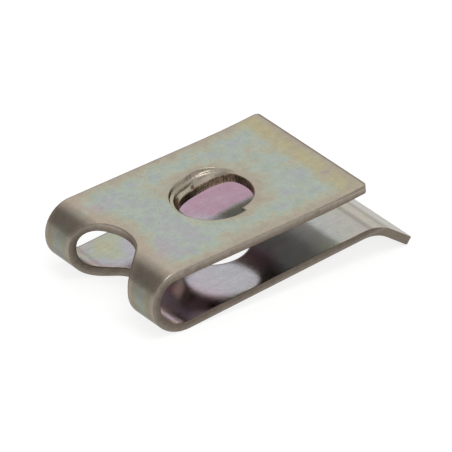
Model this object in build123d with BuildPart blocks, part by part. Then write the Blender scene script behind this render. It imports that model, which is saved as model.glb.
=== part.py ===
"""U clip speed nut: one strip of spring steel folded into a U, with a formed thread in its upper leg."""

from build123d import *
import os
from math import asin, atan2, cos, degrees, radians, sin, sqrt

# Strip
strip_width = 13.0
sheet = 0.7
edge_roll = 0.12  # outside edges, rolled over by the blanking punch
plan_corner = 0.4  # corners of both free ends, seen from above

# Upper leg
land_length = 12.6  # flat land from the fold to the curl
curl_length = 5.3  # gentle upward curl of the free end
curl_radius = 67.0

# Fold: three tangent arcs, as radius of the mid-line and turn
shoulder_radius = 1.9
shoulder_angle = 78.5
nose_radius = 2.4
nose_angle = 44.2
heel_radius = 3.0
heel_angle = 60.1

# Lower leg
floor_length = 16.3
ridge_radius = 3.8
ridge_angle = 41.0
tongue_length = 2.6

# Screw opening in the upper leg. Angles run anticlockwise seen from above, from the free end
bore_radius = 2.8
bore_distance = 8.8  # from the start of the fold
thread_pitch = 1.8  # right-hand: the pressed edge climbs anticlockwise
thread_start_angle = 14.0  # where the edge leaves the plane of the sheet
thread_end_angle = 274.0  # where it comes back in a step
run_in_angle = 98.0  # turn over which the edge is pressed down
step_height = 0.45
recess_radius = 3.2  # round edge of the dished recess above the pressed lip
recess_shift = 0.65  # its centre lies this far from the bore's, on the side of the fold
recess_angle = 197.0  # direction of that shift
recess_border = 0.25  # least width of the recess
run_in_border = 0.45  # what it is wider by where the lip is bent down

# Clearance hole in the lower leg, along the strip from the start of the fold
clearance_radius = 2.75
clearance_distance = 14.9

# Window punched in the flat strip before it is folded
window_width = 7.1
window_length = 9.2
window_distance = 4.1

# Section of the recess: (share of its width from the bore, share of the lip's depth) from edge to rim
recess_steps = ((0.39, 0.66), (0.51, 0.42), (0.86, 0.32))
lip_flat = 0.25  # the underside is near flat over this share of the width
lip_flat_depth = 0.88  # and there it has this share of the depth
lip_root = 0.8  # depth of the lip's root, as a share of the sheet
lip_clear = 0.05  # the lip starts this far inside the sheet, so that it leaves it cleanly
cut_margin = 0.3  # how far the cutting shapes stand past the faces they cut
near = 0.001  # places closer than this are the same
lip_sections = 40
window_points = 48


def ease(share):
    """Smooth rise from 0 to 1 as the share goes from 0 to 1."""
    share = min(max(share, 0), 1)
    return share * share * (3 - 2 * share)


# ---- Mid-line of the strip, in the plane of its section, with the start of the fold at the origin

with BuildLine() as upper:
    land = Line((0, 0), (land_length, 0))
    curl = JernArc(land @ 1, land % 1, curl_radius, degrees(curl_length / curl_radius))

with BuildLine() as lower:
    shoulder = JernArc((0, 0), (-1, 0), shoulder_radius, shoulder_angle)
    nose = JernArc(shoulder @ 1, shoulder % 1, nose_radius, nose_angle)
    heel = JernArc(nose @ 1, nose % 1, heel_radius, heel_angle)
    floor = PolarLine(heel @ 1, floor_length, direction=heel % 1)
    ridge = JernArc(floor @ 1, floor % 1, ridge_radius, -ridge_angle)
    tongue = PolarLine(ridge @ 1, tongue_length, direction=ridge % 1)

upper_line = upper.wire()
lower_line = lower.wire()


def section_point(distance, height):
    """Point of the section at a distance along the mid-line, and a height above it, outside the fold."""
    line = upper_line if distance < 0 else lower_line
    outward = 90 if distance < 0 else -90
    point = line.position_at(abs(distance), position_mode=PositionMode.LENGTH)
    tangent = line.tangent_at(abs(distance), position_mode=PositionMode.LENGTH)
    return point + tangent.rotate(Axis.Z, outward) * height


def trace_section():
    """Outline of the sheet: the mid-line moved half a sheet to each side, closed at both ends."""
    for line, outside, inside, away in (
        (upper_line, Side.LEFT, Side.RIGHT, -1),
        (lower_line, Side.RIGHT, Side.LEFT, 1),
    ):
        offset(line, sheet / 2, side=outside, closed=False, mode=Mode.ADD)
        offset(line, sheet / 2, side=inside, closed=False, mode=Mode.ADD)
        end = away * line.length
        Line(section_point(end, sheet / 2), section_point(end, -sheet / 2))


with BuildSketch() as section:
    with BuildLine():
        trace_section()
    make_face()

# ---- Resting place: the clip stands on its heel and on the rolled edge of its tongue

heel_outside = heel_radius + sheet / 2
foot = section_point(lower_line.length - edge_roll, sheet / 2 - edge_roll)
reach = foot - heel.arc_center
ground_slope = atan2(reach.Y, reach.X) + asin((heel_outside - edge_roll) / reach.length)
resting = section.sketch.rotate(Axis.Z, -degrees(ground_slope)).bounding_box()
ground = heel.arc_center.rotate(Axis.Z, -degrees(ground_slope)).Y - heel_outside
leg = Plane(
    origin=(-resting.center().X, 0, -ground),
    x_dir=(cos(ground_slope), 0, -sin(ground_slope)),
    z_dir=(0, -1, 0),
)


# ---- Edges of the strip: round corners at the free ends, and the outside edges rolled over

free_ends = (-upper_line.length, lower_line.length)
outside_lines = (
    offset(upper_line, sheet / 2, side=Side.LEFT, closed=False, mode=Mode.PRIVATE),
    offset(lower_line, sheet / 2, side=Side.RIGHT, closed=False, mode=Mode.PRIVATE),
)


def in_section(edge):
    """Middle of an edge as its place in the section, and how far it is from the strip's centre line."""
    middle = leg.to_local_coords(edge @ 0.5)
    return Vector(middle.X, middle.Y), abs(middle.Z)


def at_free_end(place, height):
    """Whether a place in the section is at one of the free ends, at a height above the mid-line."""
    return min((place - section_point(end, height)).length for end in free_ends) < near


def is_corner(edge):
    """Whether an edge is one of the four upright ones at the free ends."""
    place, aside = in_section(edge)
    return at_free_end(place, 0) and abs(aside - strip_width / 2) < near


def is_outside(edge):
    """Whether an edge is part of the strip's outline, on the outside of the clip."""
    place, aside = in_section(edge)
    on_surface = min(line.distance_to(place) for line in outside_lines) < near
    return on_surface and (aside > strip_width / 2 - plan_corner or at_free_end(place, sheet / 2))


# ---- Window: its wall stands square to the sheet all the way round the fold

with BuildSketch() as flat_window:
    SlotOverall(window_length, window_width)


def window_rim(height):
    """Edge of the window at a height above the mid-line, wrapped round the fold."""
    flat_rim = flat_window.face().outer_wire()
    points = []
    for index in range(window_points):
        flat = flat_rim @ (index / window_points)
        point = section_point(window_distance + flat.X, height)
        points.append(leg.from_local_coords((point.X, point.Y, -flat.Y)))
    return Edge.make_spline(points, periodic=True)


# ---- Formed thread: a lip that winds round the bore, in radial sections

bore_top = Plane(
    origin=leg.from_local_coords((bore_distance, sheet / 2, 0)),
    x_dir=leg.x_dir,
    z_dir=leg.y_dir,
)


def radial_plane(angle):
    """Plane through the bore's axis: x runs outwards from it, y up from the top of the sheet."""
    outward = bore_top.x_dir * cos(radians(angle)) + bore_top.y_dir * sin(radians(angle))
    return Plane(origin=bore_top.origin, x_dir=outward, z_dir=outward.cross(bore_top.z_dir))


def lip_depth(angle):
    """How far the edge of the bore is pressed down, starting a little way up so as to leave the sheet cleanly."""
    helix = step_height + thread_pitch * (thread_end_angle - angle) / 360
    bend = ease((angle - thread_start_angle) / run_in_angle)
    return helix * bend - lip_clear * (1 - bend)


def recess_width(angle):
    """Width of the recess, from the bore to its rim."""
    across = recess_shift * sin(radians(angle - recess_angle))
    rim = recess_shift * cos(radians(angle - recess_angle)) + sqrt(recess_radius**2 - across**2)
    middle = thread_start_angle + run_in_angle / 2
    bend = ease(1 - 2 * abs(angle - middle) / run_in_angle)
    return max(rim - bore_radius, recess_border) + run_in_border * bend


def recess_floor(angle):
    """Points of the pressed surface, from the edge of the bore outwards, as (radius, height)."""
    depth = lip_depth(angle)
    width = recess_width(angle)
    return [(bore_radius + across * width, -down * depth) for across, down in ((0, 1), *recess_steps)]


def lip_outline(angle):
    """The lip's own metal: its underside rises from a sheet below the edge to a root in the sheet."""
    depth = lip_depth(angle)
    width = recess_width(angle)
    inner = bore_radius - cut_margin
    root = bore_radius + width + sheet / 2
    return (
        (inner, -depth - sheet),
        (bore_radius + lip_flat * width, -lip_flat_depth * depth - sheet),
        (root, -lip_root * sheet),
        (root, -sheet / 2),
        (inner, -sheet / 2),
    )


def recess_outline(angle):
    """What the forming punch presses away above the lip."""
    floor_points = recess_floor(angle)
    edge, knee = floor_points[0], floor_points[1]
    slope = (edge[1] - knee[1]) / (edge[0] - knee[0])
    rim = bore_radius + recess_width(angle)
    return (
        (edge[0] - cut_margin, edge[1] - slope * cut_margin),
        *floor_points[1:],
        (rim + cut_margin / 2, 2 * cut_margin),
        (edge[0] - cut_margin, 2 * cut_margin),
    )


thread_span = thread_end_angle - thread_start_angle
lip_angles = [thread_start_angle + thread_span * index / (lip_sections - 1) for index in range(lip_sections)]

with BuildPart() as lip_metal:
    for angle in lip_angles:
        with BuildSketch(radial_plane(angle)):
            with BuildLine():
                Polyline(*lip_outline(angle), close=True)
            make_face()
    loft(ruled=True)

with BuildPart() as recess:
    for angle in lip_angles:
        with BuildSketch(radial_plane(angle)):
            with BuildLine():
                Polyline(*recess_outline(angle), close=True)
            make_face()
    loft(ruled=True)

# ---- Clearance hole: square to the lower leg

floor_point = section_point(clearance_distance, 0)
floor_slope = lower_line.tangent_at(clearance_distance, position_mode=PositionMode.LENGTH)
floor_center = leg.from_local_coords((floor_point.X, floor_point.Y, 0))
floor_along = leg.x_dir * floor_slope.X + leg.y_dir * floor_slope.Y
floor_middle = Plane(origin=floor_center, x_dir=floor_along, z_dir=floor_along.cross(-leg.z_dir))

# ---- The folded strip, cut and formed

with BuildPart() as u_clip:
    with BuildSketch(leg):
        add(section.sketch)
    extrude(amount=strip_width / 2, both=True)
    fillet(u_clip.edges().filter_by(is_corner), plan_corner)
    fillet(u_clip.edges().filter_by(is_outside), edge_roll)
    window_wall = Face.make_surface_from_curves(window_rim(sheet), window_rim(-sheet))
    split(bisect_by=window_wall, keep=Keep.BOTTOM)
    add(lip_metal.part)
    add(recess.part, mode=Mode.SUBTRACT)
    with BuildSketch(bore_top):
        Circle(bore_radius)
    extrude(amount=4 * sheet, both=True, mode=Mode.SUBTRACT)
    with BuildSketch(floor_middle):
        Circle(clearance_radius)
    extrude(amount=sheet, both=True, mode=Mode.SUBTRACT)

u_clip.part.label = "u_clip"
os.makedirs("parts", exist_ok=True)
export_step(u_clip.part, "parts/u_clip.step")
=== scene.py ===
import math
from types import SimpleNamespace

import bmesh
import bpy
from mathutils import Matrix, Vector

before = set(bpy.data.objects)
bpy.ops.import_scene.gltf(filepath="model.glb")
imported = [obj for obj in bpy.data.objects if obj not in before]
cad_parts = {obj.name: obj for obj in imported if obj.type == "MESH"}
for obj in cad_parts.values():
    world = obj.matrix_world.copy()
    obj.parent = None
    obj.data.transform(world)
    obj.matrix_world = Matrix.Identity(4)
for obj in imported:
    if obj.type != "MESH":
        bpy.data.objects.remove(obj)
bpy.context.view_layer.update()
print("frame loaded")


# a socket that takes part in Python expressions; each operation adds its own Math node
class Signal:
    def __init__(self, socket):
        self.socket = socket
        self.tree = socket.id_data

    def calc(self, operation, *values):
        node = self.tree.nodes.new("ShaderNodeMath")
        node.operation = operation
        for slot, value in zip(node.inputs, values):
            plug(slot, value)
        return Signal(node.outputs[0])

    def __add__(self, other):
        return self.calc("ADD", self, other)

    def __radd__(self, other):
        return self.calc("ADD", other, self)

    def __sub__(self, other):
        return self.calc("SUBTRACT", self, other)

    def __rsub__(self, other):
        return self.calc("SUBTRACT", other, self)

    def __mul__(self, other):
        return self.calc("MULTIPLY", self, other)

    def __rmul__(self, other):
        return self.calc("MULTIPLY", other, self)

    def __abs__(self):
        return self.calc("ABSOLUTE", self)

    def __neg__(self):
        return self.calc("MULTIPLY", self, -1)

    def above(self, other):
        return self.calc("GREATER_THAN", self, other)

    def below(self, other):
        return self.calc("LESS_THAN", self, other)

    def atLeast(self, other):
        return self.calc("MAXIMUM", self, other)

    def atMost(self, other):
        return self.calc("MINIMUM", self, other)

    # 0 at start, 1 at end, smooth between; start may be the larger
    def fade(self, start, end):
        node = self.tree.nodes.new("ShaderNodeMapRange")
        node.interpolation_type = "SMOOTHSTEP"
        low, high, first, last = (start, end, 0, 1) if start < end else (end, start, 1, 0)
        values = {"Value": self, "From Min": low, "From Max": high, "To Min": first, "To Max": last}
        for name, value in values.items():
            plug(node.inputs[name], value)
        return Signal(node.outputs[0])


def plug(slot, value):
    if isinstance(value, Signal):
        slot.id_data.links.new(value.socket, slot)
    elif hasattr(slot.default_value, "__len__") and len(slot.default_value) == 4 and len(value) == 3:
        slot.default_value = (*value, 1)
    else:
        slot.default_value = value


def distance(first, second):
    total = first * first + second * second
    return total.calc("SQRT", total)


def angleOf(first, second):
    return first.calc("ARCTAN2", first, second)


class Finish:
    def __init__(self, owner):
        owner.use_nodes = True
        self.tree = owner.node_tree
        self.tree.nodes.clear()

    def add(self, kind, settings=None, out=0, **inputs):
        node = self.tree.nodes.new("ShaderNode" + kind)
        for name, value in (settings or {}).items():
            if name == "stops":
                self.fillRamp(node.color_ramp, value)
            else:
                setattr(node, name, value)
        for name, value in inputs.items():
            plug(self.slotOf(node, name), value)
        return Signal(node.outputs[out])

    # i3 is the input of index 3, any other name is the socket's own
    def slotOf(self, node, name):
        if name[0] == "i" and name[1:].isdigit():
            return node.inputs[int(name[1:])]
        wanted = name.lower().replace("_", " ")
        return next(slot for slot in node.inputs if slot.name.lower() == wanted and slot.enabled)

    def fillRamp(self, ramp, stops):
        while len(ramp.elements) < len(stops):
            ramp.elements.new(0.5)
        for element, (place, color) in zip(ramp.elements, stops):
            element.position = place
            element.color = (*color, 1)

    def ramp(self, level, stops):
        return self.add("ValToRGB", {"stops": stops}, fac=level)

    def mix(self, factor, first, second, blend="MIX"):
        settings = {"data_type": "RGBA", "blend_type": blend}
        return self.add("Mix", settings, out=2, i0=factor, i6=first, i7=second)

    # multiplies a colour by another one or by a single value
    def tint(self, color, by, factor=1.0):
        if isinstance(by, Signal):
            by = self.point(by, by, by)
        return self.mix(factor, color, by, "MULTIPLY")

    def parts(self, vector):
        node = self.tree.nodes.new("ShaderNodeSeparateXYZ")
        plug(node.inputs[0], vector)
        return [Signal(output) for output in node.outputs]

    def point(self, x, y, z):
        return self.add("CombineXYZ", i0=x, i1=y, i2=z)

    def noise(self, vector, scale, detail=2.0, roughness=0.5, warp=0.0):
        return self.add("TexNoise", {"noise_dimensions": "3D"}, vector=vector, scale=scale,
                        detail=detail, roughness=roughness, distortion=warp)

    # whether the ray is of one of the named kinds
    def rays(self, *names):
        node = self.tree.nodes.new("ShaderNodeLightPath")
        found = Signal(node.outputs[names[0]])
        for name in names[1:]:
            found = found.atLeast(Signal(node.outputs[name]))
        return found

    def output(self, kind, shader):
        node = self.tree.nodes.new("ShaderNodeOutput" + kind)
        plug(node.inputs["Surface"], shader)


# spring steel, zinc plated, under a thin film; sizes in millimetres of the clip's own section
steel = {
    "legOrigin": (-10.2356, 4.9503),  # start of the fold on the mid-line, in x and z
    "legTilt": 0.071403,
    "halfWidth": 6.5,
    "foldArcs": ((1.9, 78.5), (2.4, 44.2), (3.0, 60.1)),  # radius and turn
    "windowMiddle": 4.1,
    "windowStraight": 1.05,
    "windowRadius": 3.55,
    "heelEnd": 1.141,
    "heelFloor": -4.672,
    "floorTilt": 0.0489,
    "boreDistance": 8.8,
    "boreRadius": 2.8,
    "recessMiddle": (-0.622, -0.190),
    "recessRadius": 3.2,
    "freeEnd": 17.9,
    "otherLeg": 20,  # added to what only the upper leg has, to keep it off the lower one
    "filmColors": (  # outside, from the edges of the strip to its middle
        (0.00, (0.370, 0.310, 0.262)),
        (0.14, (0.408, 0.370, 0.300)),
        (0.30, (0.425, 0.418, 0.335)),
        (0.47, (0.393, 0.448, 0.388)),
        (0.64, (0.390, 0.412, 0.410)),
        (0.80, (0.422, 0.398, 0.422)),
        (1.00, (0.410, 0.410, 0.385)),
    ),
    "innerColors": (
        (0.00, (0.365, 0.338, 0.235)),
        (0.22, (0.318, 0.350, 0.278)),
        (0.40, (0.330, 0.342, 0.365)),
        (0.54, (0.350, 0.335, 0.372)),
        (0.70, (0.395, 0.265, 0.335)),
        (0.80, (0.415, 0.255, 0.320)),
        (1.00, (0.360, 0.320, 0.370)),
    ),
    "underColor": (0.335, 0.345, 0.330),  # underside of the upper leg
    # painted shade: the lip's dark crescent on the lower leg
    "lipShadeColor": (0.160, 0.152, 0.120),
    "umberColor": (0.345, 0.260, 0.250),
    "strawColor": (0.450, 0.400, 0.235),
    "mouthColor": (0.395, 0.360, 0.300),
    "outsideShade": (0.300, 0.285, 0.230),
    "bandColor": (0.450, 0.395, 0.330),
    "foldColor": (0.450, 0.375, 0.305),
    "shoulderShade": (0.36, 0.36, 0.37),
    "innerTint": (1.18, 1.15, 1.15),
    "cutColor": (0.190, 0.155, 0.125),
    "cutStreak": 1.22,  # the light streaks are this much lighter
    "cutTint": (0.62, 0.62, 0.62),  # round the fold and along the lower leg
    "rollHighlight": (0.330, 0.290, 0.245),
    "wallColor": (0.16, 0.105, 0.070),
    "wallStreak": (0.34, 0.25, 0.18),
    "pressedColor": (0.37, 0.335, 0.26),
    # dirt for the specks and scratches, and painted shade under the upper leg round the bore
    "soilAndShade": (0.16, 0.12, 0.09),
    "specularTint": (0.62, 0.61, 0.58),
    "roughness": 0.28,
    "bevel": 0.00016,  # these two and the bump's depth are in metres
    "pressedBevel": 0.0002,
    "bumpDepth": 0.00001,
    "bumpStrength": 0.55,
}


# centre, radius and turn of each tangent arc in the leg's own plane, and how far it was turned before
def foldArcs(arcs):
    x, z, turned = 0.0, 0.0, 0.0
    for radius, degrees in arcs:
        turn, heading = math.radians(degrees), math.pi + turned
        cx, cz = x - radius * math.sin(heading), z + radius * math.cos(heading)
        yield cx, cz, radius, turn, turned
        turned += turn
        x, z = cx + radius * math.sin(heading + turn), cz - radius * math.cos(heading + turn)


# run is the place along the folded strip, height the place across the sheet, outwards from its middle
def unfold(s, along, up, upperLeg):
    run = 0 - along.atLeast(0) * up.fade(-2.4, -2.0)
    height = up * upperLeg * along.above(0)
    for cx, cz, radius, turn, turned in foldArcs(s["foldArcs"]):
        ax, az = along - cx, cz - up
        angle = angleOf(ax, az) - (math.pi + turned)
        least = -math.pi / 2 - turned - 0.17
        angle = angle.calc("WRAP", angle, least + 2 * math.pi, least)
        run = run + angle.atLeast(0).atMost(turn) * radius
        height = height + (distance(ax, az) - radius) * (angle.above(0) * angle.below(turn))
    pastHeel = along - s["heelEnd"]
    run = run + pastHeel.atLeast(0) * up.fade(-2.0, -2.4)
    sink = s["heelFloor"] - up + pastHeel * math.sin(s["floorTilt"])
    return run, height + sink * along.above(s["heelEnd"]) * up.below(-2.2)


# everything that the colours go by: places, distances to the edges, and the shared noises
def measure(f, s):
    g = SimpleNamespace()
    place = f.add("TexCoord", out=3)
    g.place = f.add("VectorMath", {"operation": "SCALE"}, i0=place, scale=1000.0)
    g.x, g.y, g.z = f.parts(g.place)
    c, n = math.cos(s["legTilt"]), math.sin(s["legTilt"])
    dx, dz = g.x - s["legOrigin"][0], g.z - s["legOrigin"][1]
    along, g.up = dx * c + dz * n, dz * c - dx * n
    g.upperLeg = g.up.fade(-2.0, -1.4)
    g.lowerLeg = g.z.fade(3.6, 3.0)
    g.run, g.height = unfold(s, along, g.up, g.upperLeg)

    offLeg = (1 - g.upperLeg) * s["otherLeg"]
    windowRun = (abs(g.run - s["windowMiddle"]) - s["windowStraight"]).atLeast(0)
    g.windowGap = distance(windowRun, g.y) - s["windowRadius"]
    g.boreX = along - s["boreDistance"]
    g.boreRun = distance(g.boreX, g.y)
    g.boreGap = g.boreRun - s["boreRadius"] + offLeg
    g.sideGap = s["halfWidth"] - abs(g.y)
    g.endGap = s["freeEnd"] - along + offLeg

    recessX, recessY = g.boreX - s["recessMiddle"][0], g.y - s["recessMiddle"][1]
    recessGap = distance(recessX, recessY)
    inRecess = recessGap.fade(s["recessRadius"] + 0.08, s["recessRadius"] - 0.05)
    g.pressed = inRecess * g.up.fade(0.345, 0.31) * g.upperLeg

    # faces that look into the gap between the legs
    facing = f.add("NewGeometry", out=3)
    g.nx, _, nz = f.parts(facing)
    inward = -(g.nx * (g.x + 9.6).atMost(0) + nz * (g.z - 3.5 - g.x * 0.06))
    g.inner = inward.fade(0.0, 0.4)
    g.outer = 1 - g.inner

    g.patch = f.noise(g.place, 0.8, 3.0, 0.5)
    g.mottle = f.noise(g.place, 2.6, 3.0, 0.5)
    return g


def outerFilm(f, s, g):
    film = f.noise(g.place, 0.17, 2.0, 0.5, 0.5)
    edgeGap = g.sideGap.atMost(g.boreGap).atMost(g.endGap * 0.7).atMost(g.windowGap).atLeast(0)
    reach = (edgeGap + (g.patch - 0.5) * 1.8 + (g.mottle - 0.5) * 0.5).fade(-0.1, 2.3)
    drift = (film - 0.5) * 1.0 + (g.patch - 0.5) * 0.75 + (g.mottle - 0.5) * 0.55
    return f.ramp(reach * (0.50 - g.x * 0.014) + drift * reach + 0.06, s["filmColors"])


def innerFilm(f, s, g):
    x, y = g.x, g.y
    inPlace = f.add("Mapping", {"vector_type": "POINT"}, vector=g.place, location=(3.0, 1.5, 0.0))
    film = f.noise(inPlace, 0.24, 2.0, 0.5, 0.5)
    rosy = y.fade(2.3, 3.2) * x.fade(-2.8, 0.6) * x.fade(8.0, 5.0) * g.lowerLeg
    rosy = rosy * (1 - x.fade(1.0, -0.6) * y.fade(4.2, 3.0) * 0.75)
    near = x.fade(-1.5, 1.5) * y.fade(1.0, -1.0)
    motley = x.fade(-2.5, -4.5) * y.fade(-1.0, 1.5)
    flush = x.fade(-3.5, -7.5) * y.fade(-0.5, -2.5)
    level = 0.45 + rosy * 0.28 + flush * 0.24 - near * 0.13 - motley * 0.07
    level = level + (film - 0.5) * (0.35 + motley * 1.5) + (g.mottle - 0.5) * 0.12
    color = f.ramp(level, s["innerColors"])
    # painted shade: the lip's dark crescent on the lower leg, seen through the bore
    lipShade = y.fade(3.1, 2.5) * y.fade(-0.5, 1.2) * x.fade(0.5, 1.4) * x.fade(6.0, 4.0)
    color = f.mix(lipShade * 0.8, color, s["lipShadeColor"])
    color = f.mix((1 - g.lowerLeg) * 0.7, color, s["underColor"])
    streaks = f.noise(f.point(x * 0.22, y * 3.6, 0.0), 1.0, 3.0, 0.6)  # left by the cold rolling
    color = f.tint(color, 0.86 + streaks * 0.28)
    color = f.mix(x.fade(5.0, 8.5) * (0.55 + (g.patch - 0.5)), color, s["mouthColor"])
    color = f.mix(x.fade(-8.0, -11.0) * g.patch.fade(0.4, 0.6), color, s["umberColor"])
    # painted shade on the underside of the upper leg round the bore
    color = f.mix(g.boreRun.fade(4.7, 3.9) * (1 - g.lowerLeg) * 0.75, color, s["soilAndShade"])
    return f.tint(color, s["innerTint"], 1 - rosy)


# straw towards the free end, brown bend of the fold, brownish bands along the edges, and painted shade
# on the shoulder and the outside of the fold
def addBands(f, s, g, color):
    run, patch = g.run, g.patch
    straw = g.endGap.fade(2.6, 1.3) * g.endGap.fade(0.3, 1.0) * patch.fade(0.30, 0.55) * g.outer
    color = f.mix(straw * 0.75, color, s["strawColor"])
    bend = run.fade(-1.6, 0.2) * run.fade(3.4, 1.2) * g.outer
    color = f.mix(bend * patch.fade(0.25, 0.5) * 0.85, color, s["foldColor"])
    # painted shade: a dark band across the shoulder of the fold
    shoulder = run.fade(0.0, 1.3) * run.fade(3.6, 2.0) * g.outer
    color = f.mix(shoulder * (0.48 + patch * 0.4), color, f.tint(color, s["shoulderShade"]))
    # painted shade on the outside of the fold past the shoulder
    outside = run.fade(1.5, 3.0) * g.outer
    color = f.mix(outside * 0.8, color, f.tint(color, s["outsideShade"], 0.5))
    band = g.sideGap.fade(0.6, 0.1).atLeast(g.windowGap.fade(0.7, 0.1)).atLeast(g.boreGap.fade(0.7, 0.3))
    return f.mix(band * 0.35, color, s["bandColor"])


# sheared faces are brown with streaks across the sheet; the rolled-over side is lighter, a painted
# highlight
def addCuts(f, s, g, color, cut):
    streaks = f.noise(f.point(g.run * 2.2, g.y * 0.8, g.up * 0.9), 1.0, 4.0, 0.65)
    light = tuple(value * s["cutStreak"] for value in s["cutColor"])
    tone = f.mix(streaks.fade(0.3, 0.7), s["cutColor"], light)
    # painted highlight towards the outer side of the sheet, on the rolled-over edge
    tone = f.mix((g.height + (g.mottle - 0.5) * 0.4).fade(-0.2, 0.3), tone, s["rollHighlight"])
    tone = f.mix(g.run.fade(0.0, 1.5) * 0.7, tone, f.tint(tone, s["cutTint"]))
    # darker along the top and bottom edges of the sheared faces
    tone = f.mix(abs(g.height).fade(0.26, 0.35) * 0.5, tone, s["soilAndShade"])
    color = f.mix(cut, color, tone)
    # darker along the free end and the far side edge of the outer faces
    rim = g.endGap.fade(0.32, 0.12) * 0.75 + g.sideGap.fade(0.2, 0.08) * g.y.fade(-1.0, 1.0) * 0.5
    color = f.mix(rim * g.outer, color, s["soilAndShade"])

    # the recess is burnished by the forming punch, the bore's wall torn
    color = f.mix(g.pressed * 0.85, color, s["pressedColor"])
    torn = f.noise(f.point(angleOf(g.y, g.boreX) * 9.0, g.up * 0.6, 0.0), 3.0, 2.0, 0.6)
    wallTone = f.mix(torn.fade(0.4, 0.62), s["wallColor"], s["wallStreak"])
    return f.mix(g.boreGap.fade(0.05, 0.01), color, wallTone)


# cloudy plating, dark specks and short hairline scratches
def addWear(f, s, g, color, specks):
    cloud = f.noise(g.place, 1.5, 5.0, 0.7)
    fine = f.noise(g.place, 8.0, 2.0, 0.6)
    color = f.tint(color, 0.68 + cloud * 0.40 + fine * 0.26)
    slant = f.add("Mapping", {"vector_type": "POINT"}, vector=g.place,
                  rotation=(0.0, 0.0, 0.9), scale=(0.8, 11.0, 1.0))
    scratch = f.noise(slant, 1.0, 3.0, 0.55).fade(0.66, 0.74) * g.outer
    return f.mix((specks * 0.5 + scratch * 0.4) * (1 - g.pressed), color, s["soilAndShade"])


def makeSteel(s):
    material = bpy.data.materials.new("passivated_steel")
    f = Finish(material)
    g = measure(f, s)
    endFace = g.nx.fade(0.75, 0.9) * g.x.fade(4.0, 6.0)
    cut = g.sideGap.fade(0.06, 0.02).atLeast(g.windowGap.fade(0.05, 0.01)).atLeast(endFace)
    specks = f.noise(g.place, 7.0, 3.0, 0.7).fade(0.60, 0.72)
    specks = specks * f.noise(g.place, 0.9, 1.0, 0.5).fade(0.42, 0.6)

    color = f.mix(g.inner, outerFilm(f, s, g), innerFilm(f, s, g))
    color = addBands(f, s, g, color)
    color = addCuts(f, s, g, color, cut)
    color = addWear(f, s, g, color, specks)

    rough = s["roughness"] + (g.patch - 0.5) * 0.16 + specks * 0.12 + cut * 0.2
    rough = rough - g.pressed * 0.16 - g.inner * 0.17 + g.inner * g.x.fade(-7.0, -10.5) * 0.15
    grain = f.noise(g.place, 12.0, 3.0, 0.65) + f.noise(g.place, 1.6, 2.0, 0.5) * 1.2
    rounded = f.add("Bevel", {"samples": 8}, radius=s["bevel"])
    rolled = f.add("Bevel", {"samples": 12}, radius=s["pressedBevel"])
    rounded = f.add("Mix", {"data_type": "VECTOR"}, out=1, i0=g.pressed, i4=rounded, i5=rolled)
    bump = f.add("Bump", strength=s["bumpStrength"], distance=s["bumpDepth"],
                 height=grain * (1 - g.inner * 0.6), normal=rounded)
    f.output("Material", f.add("BsdfPrincipled", base_color=color, metallic=1.0, roughness=rough,
                               specular_tint=s["specularTint"], normal=bump))
    return material


def dress(node, material):
    node.data.materials.clear()
    node.data.materials.append(material)


dress(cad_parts["u_clip"], makeSteel(steel))
print("steel made")


# pale floor, seen as white, that keeps the clip's shadow
floor = {"size": 3.0, "color": (0.8, 0.8, 0.8), "shadow": (0.25, 0.25, 0.25), "glow": 0.80}


def addFloor(s):
    shape = bmesh.new()
    bmesh.ops.create_grid(shape, x_segments=1, y_segments=1, size=s["size"] / 2)
    mesh = bpy.data.meshes.new("floor")
    shape.to_mesh(mesh)
    shape.free()
    piece = bpy.data.objects.new("floor", mesh)
    bpy.context.collection.objects.link(piece)
    material = bpy.data.materials.new("pale_floor")
    f = Finish(material)
    plain = f.add("BsdfDiffuse", color=s["color"])
    shaded = f.add("BsdfDiffuse", color=s["shadow"])
    glow = f.add("Emission", color=(1, 1, 1), strength=s["glow"])
    seen = f.add("AddShader", i0=glow, i1=shaded)
    direct = f.rays("Is Camera Ray", "Is Glossy Ray", "Is Transmission Ray")
    f.output("Material", f.add("MixShader", fac=direct, i1=plain, i2=seen))
    mesh.materials.append(material)


addFloor(floor)
print("floor laid")


# soft studio: an even sky with patches, each with its side, its color and the cosines of its fade
studio = {
    "sky": (0.82, 0.82, 0.81),
    "patches": (
        ((-0.60, 0.58, 0.50), (0.42, 0.41, 0.40), 0.76, 0.95),  # dark card behind the fold
        ((0.89, 0.43, 0.10), (1.3, 1.3, 1.28), 0.90, 0.95),  # tall window on the open side
        ((-0.06, -0.22, 0.97), (4.6, 4.6, 4.5), 0.955, 0.978),  # small bright one overhead
    ),
}


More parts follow.
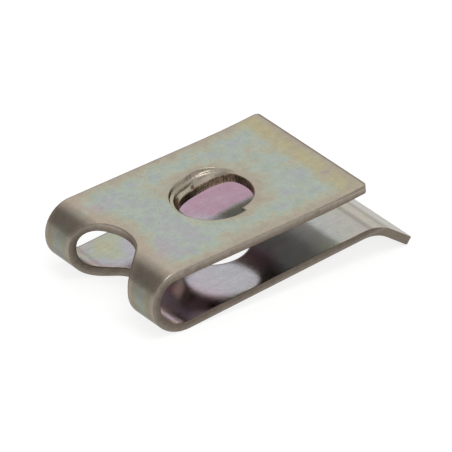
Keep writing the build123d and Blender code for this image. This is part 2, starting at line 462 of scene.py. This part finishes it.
def addWorld(s):
    world = bpy.data.worlds.new("studio")
    bpy.context.scene.world = world
    f = Finish(world)
    direction = f.add("TexCoord", out=0)
    tone = s["sky"]
    for side, color, start, end in s["patches"]:
        towards = f.add("VectorMath", {"operation": "DOT_PRODUCT"}, out=1,
                        i0=direction, i1=Vector(side).normalized())
        tone = f.mix(towards.fade(start, end), tone, color)
    shown = f.mix(f.rays("Is Camera Ray"), tone, (1, 1, 1))
    f.output("World", f.add("Background", color=shown, strength=1.0))


addWorld(studio)

lamps = {
    "key": {"place": (0.20, 0.28, 0.30), "size": 0.22, "power": 0.03},
    "fill": {"place": (-0.25, -0.35, 0.30), "size": 0.30, "power": 0.02},
}


def addLamp(name, s):
    data = bpy.data.lights.new(name, "AREA")
    data.shape = "DISK"
    data.size = s["size"]
    data.energy = s["power"]
    lamp = bpy.data.objects.new(name, data)
    bpy.context.collection.objects.link(lamp)
    place = Vector(s["place"])
    lamp.matrix_world = Matrix.Translation(place) @ place.to_track_quat("Z", "Y").to_matrix().to_4x4()


for name, values in lamps.items():
    addLamp(name, values)
print("light set")


view = {
    "aim": (-0.00072, -0.00036, 0.00297),
    "azimuth": -39.7,
    "elevation": 30.68,
    "roll": 2.58,
    "distance": 0.4806,
    "lens": 518,
    "clip": (0.01, 20),
}


def addCamera(s):
    a, e, r = (math.radians(s[name]) for name in ("azimuth", "elevation", "roll"))
    forward = Vector((-math.sin(a) * math.cos(e), math.cos(a) * math.cos(e), -math.sin(e)))
    right = Vector((math.cos(a), math.sin(a), 0))
    up = right.cross(forward)
    right, up = right * math.cos(r) + up * math.sin(r), up * math.cos(r) - right * math.sin(r)
    data = bpy.data.cameras.new("camera")
    data.lens = s["lens"]
    data.clip_start, data.clip_end = s["clip"]
    camera = bpy.data.objects.new("camera", data)
    bpy.context.collection.objects.link(camera)
    turn = Matrix((right, up, -forward)).transposed().to_4x4()
    camera.matrix_world = Matrix.Translation(Vector(s["aim"]) - forward * s["distance"]) @ turn
    bpy.context.scene.camera = camera


addCamera(view)
bpy.context.scene.view_settings.view_transform = "Standard"
print("camera set")
